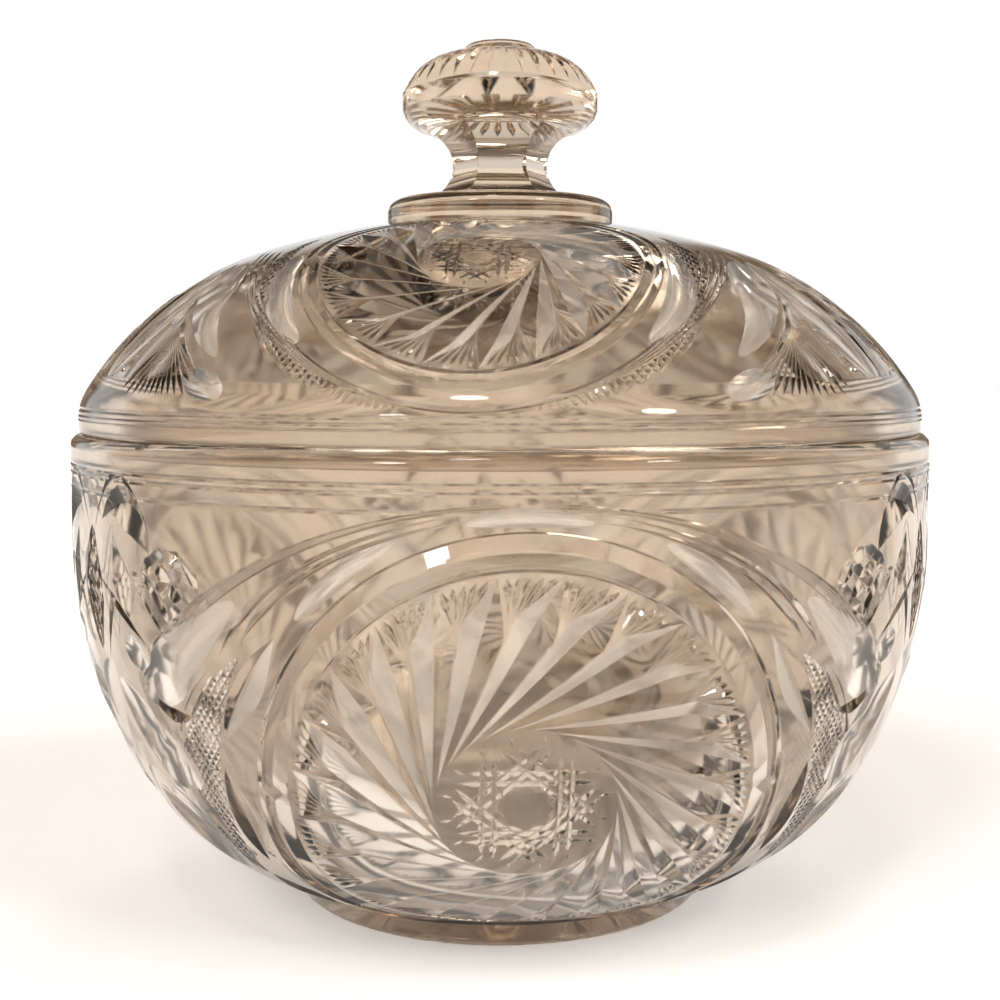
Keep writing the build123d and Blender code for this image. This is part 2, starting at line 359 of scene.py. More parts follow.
class Cutters:
    """The cutters for one piece, kept in a collection of their own."""

    def __init__(self, name, glass):
        self.glass = glass
        self.collection = bpy.data.collections.new(name)
        bpy.context.scene.collection.children.link(self.collection)
        self.painted_tone_marks = [bpy.data.materials.new(name + painted_tone) for painted_tone in (" deep", " crisp", " pale")]

    def sweep(self, rows, painted_tones=None):
        """Close a cutter from rows of points. tones say what each side paints: -1 shade, 0 nothing, 1 a
        highlight.
        """
        size = len(rows[0])
        faces = [tuple(range(size))[::-1], tuple(range(size * (len(rows) - 1), size * len(rows)))]
        for row in range(len(rows) - 1):
            for point in range(size):
                after = (point + 1) % size
                first, last = row * size, (row + 1) * size
                faces.append((first + point, first + after, last + after, last + point))
        mesh = bpy.data.meshes.new("cutter")
        mesh.from_pydata([p for row in rows for p in row], [], faces)
        work = bmesh.new()
        work.from_mesh(mesh)
        bmesh.ops.recalc_face_normals(work, faces=work.faces)
        work.to_mesh(mesh)
        work.free()
        for mark in self.painted_tone_marks:
            mesh.materials.append(mark)
        for number, face in enumerate(mesh.polygons):
            face.material_index = 1 + (painted_tones[(number - 2) % size] if painted_tones and number > 1 else 0)
        self.collection.objects.link(bpy.data.objects.new("cutter", mesh))

    def across(self, path):
        """For each station, the direction across the path on the glass."""
        points = np.array(path)[:, :2]
        heading = np.gradient(points, axis=0)
        heading /= np.linalg.norm(heading, axis=1)[:, None]
        return np.stack([-heading[:, 1], heading[:, 0]], axis=1)

    def vee(self, path, left, right, turn=0.0, painted_tones=(0, 0)):
        """Cut a V along a path. left and right are how far its sides lean, over its depth."""
        rows = []
        for (x, y, depth), (nx, ny) in zip(path, self.across(path)):
            height = depth + CLEAR
            rows.append([
                self.glass.place(x, y, depth, turn),
                self.glass.place(x + nx * height * left, y + ny * height * left, -CLEAR, turn),
                self.glass.place(x - nx * height * right, y - ny * height * right, -CLEAR, turn),
            ])
        self.sweep(rows, (painted_tones[0], 0, painted_tones[1]))

    def hollow(self, path, radius, turn=0.0):
        """Cut a round-bottomed hollow along a path, of a given radius across."""
        rows = []
        for (x, y, depth), (nx, ny) in zip(path, self.across(path)):
            half = math.sqrt(2 * radius * (depth + CLEAR))
            row = []
            for point in range(ROUND_POINTS):
                side = half * (2 * point / (ROUND_POINTS - 1) - 1)
                sunk = depth - side ** 2 / 2 / radius
                row.append(self.glass.place(x + nx * side, y + ny * side, sunk, turn))
            rows.append(row)
        # every side of a hollow is painted light as a highlight
        self.sweep(rows, [1] * ROUND_POINTS)


print("a V has 3 sides, a hollow", ROUND_POINTS)

# %% [markdown]
# ## A pinwheel medallion
# Twenty-odd blades leave a round hub sideways and open like kites towards the frame, and small fans fill
# the gaps between their outer halves. Each blade is one mitred V, as wide as the room that the turning
# leaves, less a thin ridge. So all the ridges come out as straight lines.

# %% Blades and fans
RIDGE = 0.8
BLADE_LEAN = 1.6
# the left side of each blade is painted light as a highlight, the right side stays plain
BLADE_PAINTED_TONES = (1, 0)
FAN_CUTS = 5
FAN_LEAN = 1.35
FAN_DEPTH = 0.64
FAN_PEAK = 0.8
FAN_GAP = 0.4
FAN_SPREAD = 0.92
FAN_START = 0.16


def on_circle(radius, degrees):
    """A point of a circle about the hub's middle, from an angle in degrees."""
    return np.array(polar((0, 0), radius, degrees))


def pinwheel(cutters, turn, scale, blades, hub, fork, field):
    """Blades from the hub's edge, widest at the fork radius, and fans out to the field's edge."""
    pitch = 360 / blades
    fork_run = math.sqrt(fork ** 2 - hub ** 2)
    field_run = math.sqrt(field ** 2 - hub ** 2)
    fork_turn = math.degrees(math.acos(hub / fork))
    field_turn = math.degrees(math.acos(hub / field))
    room = fork_run * math.sin(math.radians(pitch)) + hub * (1 - math.cos(math.radians(pitch)))
    depth = (room - RIDGE * scale) / 2 / BLADE_LEAN
    for blade in range(blades):
        angle = blade * pitch
        start = on_circle(hub, angle)
        heading = on_circle(1, angle - 90)
        kite = along(start, start + heading * field_run, leaf(depth, fork_run / field_run))
        cutters.vee(kite, BLADE_LEAN, BLADE_LEAN, turn, BLADE_PAINTED_TONES)
        between = angle + pitch / 2
        split_at = on_circle(fork, between - fork_turn)
        for fan_cut in range(FAN_CUTS):
            share = (fan_cut + 0.5) / FAN_CUTS - 0.5
            end = on_circle(field - FAN_GAP * scale, between - field_turn + share * pitch * FAN_SPREAD)
            begin = split_at + (end - split_at) * FAN_START
            path = along(begin, end, leaf(FAN_DEPTH * scale, FAN_PEAK))
            cutters.vee(path, FAN_LEAN, FAN_LEAN, turn)
    return depth


print("a fan has", FAN_CUTS, "cuts")

# %% [markdown]
# ## The hub's star
# The hub is a hobstar: pairs of close parallel grooves that cross at eight points round a button, with
# short ticks outside. It is a ruler-and-divider design, so it is drawn by turning one pair of lines.

# %% Hub
STAR_TURNS = 4
STAR_RADIUS = 12.6
STAR_OFFSETS = (5.3, 7.3)
STAR_DEPTH = 0.7
STAR_LEAN = 0.8
BUTTON_FACETS = 8
BUTTON_RADIUS = 4.4
BUTTON_HALF = 2.0
BUTTON_DEPTH = 0.45
BUTTON_LEAN = 1.6
TICK_FROM = 12.2
TICK_TO = 14.7
TICK_DEPTH = 0.4
TICK_LEAN = 0.9


def hub_star(cutters, turn, scale):
    """Pairs of grooves, a faceted button in the middle and ticks round the outside."""
    for step in range(STAR_TURNS):
        heading = on_circle(1, 180 / STAR_TURNS * step)
        aside = np.array([-heading[1], heading[0]])
        for offset in STAR_OFFSETS:
            half = math.sqrt(STAR_RADIUS ** 2 - offset ** 2) * scale
            for side in (-1, 1):
                middle = aside * side * offset * scale
                path = along(middle - heading * half, middle + heading * half, even(STAR_DEPTH * scale))
                cutters.vee(path, STAR_LEAN, STAR_LEAN, turn)
    for facet in range(BUTTON_FACETS):
        angle = 360 / BUTTON_FACETS * (facet + 0.5)
        middle = on_circle(BUTTON_RADIUS * scale, angle)
        heading = on_circle(1, angle + 90) * BUTTON_HALF * scale
        path = along(middle - heading, middle + heading, leaf(BUTTON_DEPTH * scale))
        cutters.vee(path, BUTTON_LEAN, BUTTON_LEAN, turn)
    for tick in range(4 * STAR_TURNS):
        angle = 90 / STAR_TURNS * (tick + 0.5)
        start, end = on_circle(TICK_FROM * scale, angle), on_circle(TICK_TO * scale, angle)
        cutters.vee(along(start, end, leaf(TICK_DEPTH * scale)), TICK_LEAN, TICK_LEAN, turn)


print("the star has", 2 * STAR_TURNS * len(STAR_OFFSETS), "long grooves")

# %% [markdown]
# ## Cutting and shading
# After the cut, what is left of the turned surface takes its true normals from the outline. For that we
# find the span of the outline that a face lies on, and which way the glass faces there.

# %% Find a face on the outline
SEARCH_BATCH = 4000


def outline_table(runs, inside_runs):
    """All spans of the chain: both ends, the direction that the glass faces there, and 1 for the inside."""
    spans = []
    for run in runs:
        points = split(run)
        inside = float(run in inside_runs)
        pairs = zip(points, points[1:])
        spans += [(*first, *last, inside) for first, last in pairs if first[:2] != last[:2]]
    return np.array(spans)


def nearest_span(spans, middles):
    """For the middles of faces, in r and z, the number of the outline's nearest span."""
    first, last = spans[:, 0:2], spans[:, 4:6]
    run = last - first
    square = (run ** 2).sum(1)
    nearest = np.empty(len(middles), int)
    for part in np.array_split(np.arange(len(middles)), max(1, len(middles) // SEARCH_BATCH)):
        share = (((middles[part, None] - first) * run).sum(2) / square).clip(0, 1)
        gap = first + share[:, :, None] * run - middles[part, None]
        nearest[part] = (gap ** 2).sum(2).argmin(1)
    return nearest


def facing_on(spans, best, corners):
    """The direction that the outline faces at corners, in r and z, which lie on the given spans."""
    first, run = spans[best, 0:2], spans[best, 4:6] - spans[best, 0:2]
    share = (((corners - first) * run).sum(1) / (run ** 2).sum(1)).clip(0, 1)[:, None]
    facing = spans[best, 2:4] * (1 - share) + spans[best, 6:8] * share
    return facing / np.linalg.norm(facing, axis=1)[:, None]


bowl_inside = [wall_inside, side_inside, heel_inside, floor_inside]
bowl_spans = outline_table(bowl_runs, bowl_inside)
print(len(bowl_spans), "spans in the bowl's outline,", int(bowl_spans[:, 8].sum()), "of them inside")

# %% [markdown]
# One Boolean subtracts all the cutters at once. One after another would take a hundred times as long, and
# rounding errors would pile up. The cut faces keep the cutter's mark.

# %% Subtract the cutters
def read(collection, field, width=1, kind=np.float32):
    """One field of all items of a mesh, as an array."""
    values = np.empty(len(collection) * width, kind)
    collection.foreach_get(field, values)
    return values.reshape(-1, width) if width > 1 else values


def subtract(blank, cutters):
    """Cut all the cutters away at once, and let the cut faces keep the cutters' own material."""
    tool = blank.modifiers.new("pattern", "BOOLEAN")
    tool.operation = "DIFFERENCE"
    tool.operand_type = "COLLECTION"
    tool.collection = cutters.collection
    tool.solver = "MANIFOLD"
    tool.material_mode = "TRANSFER"
    graph = bpy.context.evaluated_depsgraph_get()
    mesh = bpy.data.meshes.new_from_object(blank.evaluated_get(graph))
    blank.modifiers.clear()
    blank.data = mesh
    for tool_object in list(cutters.collection.objects):
        bpy.data.objects.remove(tool_object)
    bpy.data.collections.remove(cutters.collection)


print("one Boolean for each piece")

# %% [markdown]
# Pressed glass is smooth along a hollow and crisp where two cuts meet. So an edge is sharp where it turns
# far enough, and wherever a cut breaks the turned surface.

# %% Edges and normals
CREASE = math.radians(24)


def corner_faces(mesh):
    """For each corner of a mesh, the number of its face."""
    return np.repeat(np.arange(len(mesh.polygons)), read(mesh.polygons, "loop_total", 1, np.int32))


def sharpen(mesh, is_cut):
    """Smooth all faces, with sharp edges at creases and wherever a cut meets the turned surface."""
    mesh.polygons.foreach_set("use_smooth", np.ones(len(mesh.polygons), bool))
    mesh.set_sharp_from_angle(angle=CREASE)
    corner_edge = read(mesh.loops, "edge_index", 1, np.int32)
    sides = np.bincount(corner_edge, minlength=len(mesh.edges))
    cut_sides = np.bincount(corner_edge, is_cut[corner_faces(mesh)], minlength=len(mesh.edges))
    sharp = read(mesh.edges, "use_edge_sharp", 1, bool) | ((cut_sides > 0) & (cut_sides < sides))
    mesh.edges.foreach_set("use_edge_sharp", sharp)


def true_normals(mesh, is_cut, spans):
    """Give the turned faces the normals of the outline. Returns the span that each face lies on."""
    normals = read(mesh.corner_normals, "vector", 3)
    corner_face = corner_faces(mesh)
    plain = ~is_cut[corner_face]
    points = read(mesh.vertices, "co", 3)[read(mesh.loops, "vertex_index", 1, np.int32)[plain]] / MM
    radius = np.hypot(points[:, 0], points[:, 1])
    middles = read(mesh.polygons, "center", 3) / MM
    middles = np.column_stack([np.hypot(middles[:, 0], middles[:, 1]), middles[:, 2]])
    nearest = nearest_span(spans, middles)
    facing = facing_on(spans, nearest[corner_face[plain]], np.column_stack([radius, points[:, 2]]))
    outward = points[:, :2] / np.maximum(radius, 1e-9)[:, None]
    normals[plain] = np.column_stack([outward * facing[:, :1], facing[:, 1]])
    mesh.normals_split_custom_set(normals.tolist())
    return nearest


print("edges are sharp from", round(math.degrees(CREASE)), "degrees")

# %% [markdown]
# The whole piece has one material, as the real one has. What differs from face to face is written on the
# mesh as numbers, which the material reads by name.

# %% Cut a piece
def cut(blank, cutters, spans, finish):
    """Cut a blank, put its normals right and leave one material."""
    blank.data.materials.append(finish)
    subtract(blank, cutters)
    mesh = blank.data
    slots = read(mesh.polygons, "material_index", 1, np.int32)
    cut_slots = [number for number, material in enumerate(mesh.materials) if material != finish]
    is_cut = np.isin(slots, cut_slots)
    sharpen(mesh, is_cut)
    nearest = true_normals(mesh, is_cut, spans)
    # the cutters' marks become face attributes that paint a highlight or shade into the glass's colour
    painted_tones = [cutters.painted_tone_marks.index(mark) - 1 if mark in cutters.painted_tone_marks else 0 for mark in mesh.materials]
    painted_tone = np.array(painted_tones, float)[slots]
    inside = np.where(is_cut, 0.0, spans[nearest, 8])
    for name, share in (("inside", inside), ("pale", painted_tone > 0), ("deep", painted_tone < 0)):
        mesh.attributes.new(name, "FLOAT", "FACE").data.foreach_set("value", share.astype(float))
    mesh.polygons.foreach_set("material_index", np.zeros(len(mesh.polygons), np.int32))
    while len(mesh.materials) > 1:
        mesh.materials.pop(index=-1)
    print(blank.name, len(mesh.polygons), "faces,", int(is_cut.sum()), "of them cut,", end=" ")
    print(int((painted_tone > 0).sum()), "pale,", int((painted_tone < 0).sum()), "deep")


print("faces are marked inside, pale or deep")

# %% [markdown]
# ## Round the medallions
# Outside its field each medallion has a plain frame with a chain of lenses, and on both sides a crescent, a
# petal, lobes, and lines that sweep over the whole. They need paths that bend, rings and crossed grooves.

# %% Bows, rings and grids
def bend(centre, radius, start, end, depth):
    """Stations along a circle in the pattern, between two angles in degrees."""
    count = max(6, math.ceil(abs(math.radians(end - start)) * radius / PATH_STEP))
    middle = np.array(centre, float)
    return [
        (*(middle + on_circle(radius, start + (end - start) * i / count)), depth(i / count))
        for i in range(count + 1)
    ]


def ring_groove(cutters, turn, radius, depth, left, right):
    """A groove right round a medallion, cut in two halves that overlap."""
    for start in (0, 180):
        cutters.vee(bend((0, 0), radius, start - 4, start + 184, even(depth)), left, right, turn)


def diamond_grid(cutters, turn, corners, lines, depth, lean):
    """Two families of crossing grooves between the opposite sides of a four-cornered field."""
    first, second, third, fourth = (np.array(corner, float) for corner in corners)
    for sides in (((first, second), (fourth, third)), ((second, third), (first, fourth))):
        (near, near_end), (far, far_end) = sides
        for number in range(lines + 1):
            share = number / lines
            start, end = near + (near_end - near) * share, far + (far_end - far) * share
            cutters.vee(along(start, end, even(depth)), lean, lean, turn)


print("a circle of 50 mm has", len(bend((0, 0), 50, 0, 360, even(1))) - 1, "parts")

# %% [markdown]
# A diamond file is two families of fine grooves that cross. It fills a crescent: what lies inside one
# circle and outside another.

# %% Diamond file in a crescent
FILE_PITCH = 1.3
FILE_LEAN = 1.5
FILE_DEPTH = 0.3
FILE_SLANT = 55


def crossing(origin, heading, centre, radius):
    """Where a line lies within a circle, as two distances along it, or None."""
    gap = np.array(centre) - origin
    middle = gap @ heading
    square = radius ** 2 - (gap @ gap - middle ** 2)
    return None if square <= 0 else (middle - math.sqrt(square), middle + math.sqrt(square))


def file_crescent(cutters, turn, side, inner, outer):
    """Crossed fine grooves in what lies within the outer circle but outside the inner one, on one side."""
    centre, radius = np.array(outer[0]), outer[1]
    count = int(radius / FILE_PITCH)
    for slant in (-FILE_SLANT, FILE_SLANT):
        heading = on_circle(1, slant)
        aside = np.array([-heading[1], heading[0]])
        for number in range(-count, count + 1):
            origin = centre + aside * number * FILE_PITCH
            low, high = crossing(origin, heading, centre, radius)
            hole = crossing(origin, heading, (0, 0), inner)
            if hole is not None:
                low = max(low, hole[1])
            if high - low > FILE_PITCH:
                path = stroke(side, (origin + heading * low, origin + heading * high), even(FILE_DEPTH))
                cutters.vee(path, FILE_LEAN, FILE_LEAN, turn)


print("the file's grooves lie", FILE_PITCH, "mm apart")

# %% [markdown]
# A lens has two unequal sides, parted by a slanting crease. The steep one is painted dark as shade and the
# broad one light as a highlight. On top, where the chain is narrow, the lenses are plain hollows, painted
# light all over as a highlight.

# %% The chain of lenses
LENS_REACH = 14.2
LENS_DEPTH = 1.5
LENS_STEEP = 0.95
LENS_FLAT = 3.0
LENS_SLANT = 2.0
LENS_BOW = 0.6
LENSES = [(-40, 53.6), (-9, 53.6), (22, 53.6)]
SMALL_LENSES = [(52, 50.8, 2.0), (90, 50.2, 1.4), (128, 50.8, 2.0)]
SMALL_LENS_DEPTH = 0.8


def lens(cutters, turn, side, angle, radius):
    """A lens of the chain: a steep side with painted shade and a broad one with a painted highlight, parted
    by a slanting crease.
    """
    slant = LENS_SLANT if angle > 0 else -LENS_SLANT
    stations = ((-slant, angle + LENS_REACH), (LENS_BOW, angle), (slant, angle - LENS_REACH))
    start, middle, end = [on_circle(radius + shift, degrees) * (side, 1) for shift, degrees in stations]
    # the steep side is painted dark as shade and the broad side light as a highlight
    leans, painted_tones = ((LENS_STEEP, LENS_FLAT), (-1, 1)) if side > 0 else ((LENS_FLAT, LENS_STEEP), (1, -1))
    cutters.vee(along(start, end, swell(LENS_DEPTH), middle), *leans, turn, painted_tones)


print(2 * len(LENSES) + len(SMALL_LENSES), "lenses round a frame")

# %% [markdown]
# Each other part is a stroke through two or three points, given for the right half in millimetres from the
# hub's middle, and mirrored.

# %% The surround of a medallion
CRESCENT_INNER = 55.8
CRESCENT_OUTER = ((38, 0), 28.5)
CRESCENT_EDGE = 0.9
RIDGE_LINES = [((50.5, 27), (33, 42.5), (5, 50.2)), ((54.5, 25), (37, 42), (6, 51.4))]
PETAL = ((41, 41.5), (59, 28.5), (74.5, 14))
PETAL_END = ((75, 17), (67, 12.5), (58, 14))
LOBES = [((76, 11), (71, 3), (61, -3)), ((72, -4), (67, -15), (54, -27))]
ARCH_TOP = 52.0
ARCH_RADII = (97, 99.5, 102, 105, 108.5)
ARCH_REACH = 78
ARCH_DEPTH = 0.34


def surround(cutters, turn):
    """Lens chain, ridges, petals, lobes, crescents and arches of one medallion."""
    for angle, radius, width in SMALL_LENSES:
        path = bend((0, 0), radius, angle - LENS_REACH, angle + LENS_REACH, swell(SMALL_LENS_DEPTH))
        cutters.hollow(path, width, turn)
    for side in (-1, 1):
        for angle, radius in LENSES:
            lens(cutters, turn, side, angle, radius)
        for points in RIDGE_LINES:
            cutters.vee(stroke(side, points, leaf(0.8, 0.2)), 1.1, 1.1, turn)
        cutters.hollow(stroke(side, PETAL, drop(2.2)), 8.5, turn)
        # both sides of the petal's pointed end are painted dark as shade
        cutters.vee(stroke(side, PETAL_END, leaf(1.5)), 0.9, 1.1, turn, (-1, -1))
        for points in LOBES:
            cutters.hollow(stroke(side, points, swell(2.2)), 7.5, turn)
        file_crescent(cutters, turn, side, CRESCENT_INNER, CRESCENT_OUTER)
        (centre_x, centre_y), radius = CRESCENT_OUTER
        start, end = 90 - 34 * side, 90 - 138 * side
        edge = bend((side * centre_x, centre_y), radius + CRESCENT_EDGE, start, end, leaf(0.5))
        cutters.vee(edge, 1.2, 1.2, turn)
        for radius in ARCH_RADII:
            reach = math.degrees(math.asin(ARCH_REACH / radius))
            path = bend((0, ARCH_TOP - radius), radius, 90, 90 - side * reach, even(ARCH_DEPTH))
            cutters.vee(path, 1.2, 1.2, turn)


print(len(ARCH_RADII), "lines in an arch")

# %% [markdown]
# ## Between the medallions
# Where two arches meet, a pointed jewel fills the gap: two deep leaves under a point, a strip of diamonds,
# small blocks beside it and rounded lobes below. It is deep, so it also notches the outline.

# %% The jewel
JEWEL_LEAF = ((3.5, 44), (13.5, 49.5), (24, 40))
JEWEL_VEES = [
    (((1, 43), (13, 54.5), (25.5, 39.5)), leaf(0.7, 0.4), 1.2),
    (((10, 44), (16, 27)), leaf(1.7), 2.2),
    (((2, 37), (21, 24)), leaf(0.9), 1.1),
    (((3.5, 20), (13, 41)), leaf(0.9), 1.1),
]
JEWEL_HOLLOWS = [
    (((11, 24), (21, 22)), 1.2, 4.5),
    (((5, 17), (12, 8), (13, -3)), 2.0, 6.5),
    (((3.5, -6), (8.5, -16), (10, -28)), 2.1, 7.0),
]
JEWEL_FLANK = ((16, -2), (20, -9), (20, -19))
JEWEL_BLOCKS = ((20, 38), (28, 42.5), (36, 36.5), (27.5, 30))
JEWEL_LADDER = ((16.5, 37.5), (19, 37.5), (29, 27), (26.5, 26.5))
JEWEL_STRIP = ((0, 45), (4.5, 33), (0, 21), (-4.5, 33))


def jewel(cutters, turn):
    """The figure between two of the bowl's medallions."""
    for side in (-1, 1):
        # one side of each jewel leaf is painted dark as shade
        leaf_painted_tones = (0, -1) if side < 0 else (-1, 0)
        cutters.vee(stroke(side, JEWEL_LEAF, swell(2.0, 0.6)), 1.9, 1.9, turn, leaf_painted_tones)
        for points, depth, lean in JEWEL_VEES:
            cutters.vee(stroke(side, points, depth), lean, lean, turn)
        for points, depth, radius in JEWEL_HOLLOWS:
            cutters.hollow(stroke(side, points, swell(depth)), radius, turn)
        # both sides of the flank are painted light as a highlight
        cutters.vee(stroke(side, JEWEL_FLANK, leaf(1.8)), 1.6, 1.6, turn, (1, 1))
        diamond_grid(cutters, turn, [(side * x, y) for x, y in JEWEL_BLOCKS], 2, 1.0, 1.5)
        diamond_grid(cutters, turn, [(side * x, y) for x, y in JEWEL_LADDER], 5, 0.4, 0.9)
    diamond_grid(cutters, turn, JEWEL_STRIP, 4, 0.7, 1.2)


print("half a jewel has", 2 + len(JEWEL_VEES), "V cuts and", len(JEWEL_HOLLOWS), "hollows")

# %% [markdown]
# The fine lines under the rim were turned in the mould, so they run right round and take no notice of the
# medallions. They are cut in two halves that overlap.

# %% Turned lines under the rim
RIM_LINES = (2.9, 4.3, 7.2)
OVERLAP = 3


def turned_lines(cutters, places, depth, lean):
    """Fine lines right round a piece, at distances along its outline from the pattern's middle."""
    for place in places:
        station = round((cutters.glass.hub_run + place) / OUTLINE_GRAIN)
        half = math.pi * cutters.glass.stations[station][0]
        start, end = (-half / 2 - OVERLAP, place), (half / 2 + OVERLAP, place)
        for turn in (0, math.pi):
            cutters.vee(along(start, end, even(depth)), lean, lean, turn)


print(len(RIM_LINES), "lines under the rim")

# %% [markdown]
# Now the bowl is turned, each medallion is laid out in its own third of the circle, and the glass is cut.
# The material is only named here.

# %% Cut the bowl
MEDALLIONS = 3
FIELD = 41.4
FRAME = 47.6
HUB = 15.5
FORK = 33.0
BOWL_BLADES = 24

glass = bpy.data.materials.new("clear pressed glass")
bowl = turn_mesh("jar_body_glass", bowl_runs)
bowl_cutters = Cutters("bowl pattern", bowl_glass)
for medallion in range(MEDALLIONS):
    turn = 2 * math.pi / MEDALLIONS * medallion
    blade_depth = pinwheel(bowl_cutters, turn, 1.0, BOWL_BLADES, HUB, FORK, FIELD)
    hub_star(bowl_cutters, turn, 1.0)
    ring_groove(bowl_cutters, turn, FIELD + 0.6, 1.1, 0.35, 2.4)
    ring_groove(bowl_cutters, turn, FRAME, 0.8, 3.2, 0.5)
    surround(bowl_cutters, turn)
    jewel(bowl_cutters, turn + math.pi / MEDALLIONS)
turned_lines(bowl_cutters, [HUB_DROP - SHOULDER - below for below in RIM_LINES], 0.22, 2.0)
print("blades", round(blade_depth, 2), "mm deep")
cut(bowl, bowl_cutters, bowl_spans, glass)

# %% [markdown]
# ## The lid's outline
# The lid is one casting too: a thin dome with a locating flange underneath, a collar, a stem and a knob. We
# go round it from the hollow inside, under the rim and up over the dome.

# %% Lid, dome
RIM_RADIUS = lid_high.x
RIM_THICKNESS = 2.4
RIM_BEVEL = 0.9
DOME_SHOULDER = 12.0
SHOULDER_TURN = 32.0
DOME_HAUNCH = 67.0
HAUNCH_TURN = 40.5
LID_WALL = 5.0
FLANGE_LOW = lid_low.z
FLANGE_RADIUS = MOUTH_RADIUS - 1.2
FLANGE_WIDTH = 2.6
COLLAR_RADIUS = 24.1
COLLAR_STEP = 3.9
COLLAR_ROUND = 2.6

dome_base = RIM_HEIGHT + RIM_THICKNESS
shoulder_centre = (RIM_RADIUS - DOME_SHOULDER, dome_base)
crown_start = SHOULDER_TURN + HAUNCH_TURN
haunch_centre = polar(shoulder_centre, DOME_SHOULDER - DOME_HAUNCH, SHOULDER_TURN)
crown_foot = polar(haunch_centre, DOME_HAUNCH, crown_start)
crown_radius = crown_foot[0] / math.cos(math.radians(crown_start))
crown_centre = (0, crown_foot[1] - crown_radius * math.sin(math.radians(crown_start)))
collar_top = crown_centre[1] + crown_radius + COLLAR_STEP
print("dome", round(crown_centre[1] + crown_radius, 1), "mm high, collar", round(collar_top, 1), "mm")

flange_inner = FLANGE_RADIUS - FLANGE_WIDTH
flange_meets = math.degrees(math.acos((flange_inner - haunch_centre[0]) / (DOME_HAUNCH - LID_WALL)))
collar_meets = math.degrees(math.acos(COLLAR_RADIUS / crown_radius))
crown_inside = arc(crown_centre, crown_radius - LID_WALL, 90, crown_start)
haunch_inside = arc(haunch_centre, DOME_HAUNCH - LID_WALL, crown_start, flange_meets)
flange_inside = line(tip(haunch_inside), (flange_inner, FLANGE_LOW))
flange_face = line(tip(flange_inside), (FLANGE_RADIUS, FLANGE_LOW))
flange_outside = line(tip(flange_face), (FLANGE_RADIUS, RIM_HEIGHT))
rim_under = line(tip(flange_outside), (RIM_RADIUS - RIM_BEVEL, RIM_HEIGHT))
rim_bevel = arc((RIM_RADIUS - RIM_BEVEL, RIM_HEIGHT + RIM_BEVEL), RIM_BEVEL, -90, 0)
rim_side = line(tip(rim_bevel), (RIM_RADIUS, dome_base))
dome_shoulder = arc(shoulder_centre, DOME_SHOULDER, 0, SHOULDER_TURN)
dome_haunch = arc(haunch_centre, DOME_HAUNCH, SHOULDER_TURN, crown_start)
dome_crown = arc(crown_centre, crown_radius, crown_start, collar_meets)
lid_outside = dome_shoulder + dome_haunch + dome_crown

# %% [markdown]
# The cheek under the knob rises from the stem in one arc. The knob's crown is the arc of a given radius
# between the band and the boss.

# %% Lid, collar and knob
STEM_RADIUS = 15.6
STEM_HEIGHT = 14.8
BAND_RADIUS = 20.8
BAND_LOW = 18.8
BAND_HIGH = 22.2
KNOB_TOP_RADIUS = 12.5
BOSS_RADIUS = 7.6
BOSS_HEIGHT = 2.4
BOSS_ROUND = 1.4

knob_top = lid_high.z
collar_side = line(tip(dome_crown), (COLLAR_RADIUS, collar_top - COLLAR_ROUND))
collar_round = arc((COLLAR_RADIUS - COLLAR_ROUND, collar_top - COLLAR_ROUND), COLLAR_ROUND, 0, 90)
collar_face = line(tip(collar_round), (STEM_RADIUS, collar_top))
stem_side = line(tip(collar_face), (STEM_RADIUS, collar_top + STEM_HEIGHT))
cheek_run, cheek_rise = BAND_RADIUS - STEM_RADIUS, BAND_LOW - STEM_HEIGHT
cheek_turn = 2 * math.atan2(cheek_rise, cheek_run)
cheek_radius = math.hypot(cheek_run, cheek_rise) / 2 / math.sin(cheek_turn / 2)
cheek_centre = (STEM_RADIUS, tip(stem_side)[1] + cheek_radius)
cheek = arc(cheek_centre, cheek_radius, -90, math.degrees(cheek_turn) - 90)
band = line(tip(cheek), (BAND_RADIUS, collar_top + BAND_HIGH))
boss_foot = (BOSS_RADIUS, knob_top - BOSS_HEIGHT)
chord = (boss_foot[0] - tip(band)[0], boss_foot[1] - tip(band)[1])
half_chord = math.hypot(*chord) / 2
rise = math.sqrt(KNOB_TOP_RADIUS ** 2 - half_chord ** 2)
knob_centre = (
    tip(band)[0] + chord[0] / 2 - chord[1] / 2 / half_chord * rise,
    tip(band)[1] + chord[1] / 2 + chord[0] / 2 / half_chord * rise,
)
knob_from, knob_to = (
    math.degrees(math.atan2(z - knob_centre[1], r - knob_centre[0])) for r, z in (tip(band), boss_foot)
)
knob_crown = arc(knob_centre, KNOB_TOP_RADIUS, knob_from, knob_to)
boss_side = line(boss_foot, (BOSS_RADIUS, knob_top - BOSS_ROUND))
boss_round = arc((BOSS_RADIUS - BOSS_ROUND, knob_top - BOSS_ROUND), BOSS_ROUND, 0, 90)
boss_face = line(tip(boss_round), (0, knob_top))
lid_runs = [
    crown_inside, haunch_inside, flange_inside, flange_face, flange_outside, rim_under, rim_bevel, rim_side,
    dome_shoulder, dome_haunch, dome_crown, collar_side, collar_round, collar_face, stem_side, cheek, band,
    knob_crown, boss_side, boss_round, boss_face,
]
print("knob crown from", round(knob_from), "to", round(knob_to), "degrees")

# %% [markdown]
# ## Cutting the lid
# The stem's hollow sides and the knob's leaves are cut with the same tools. A hollow side is one long
# cutter that lies across the stem.

# %% Stem and knob cutters
STEM_SIDES = 6
WAIST = 17.4
STEM_CURVE = 7.8
SIDE_POINTS = 17
SIDE_SHARE = 0.985
OVERSIZE = 1.4
KNOB_LEAVES = 36
LEAF_MARGIN = 0.03
LEAF_STEPS = 10
LEAF_DEPTH = 1.1
LEAF_PEAK = 0.35
LEAF_LEAN = 0.85


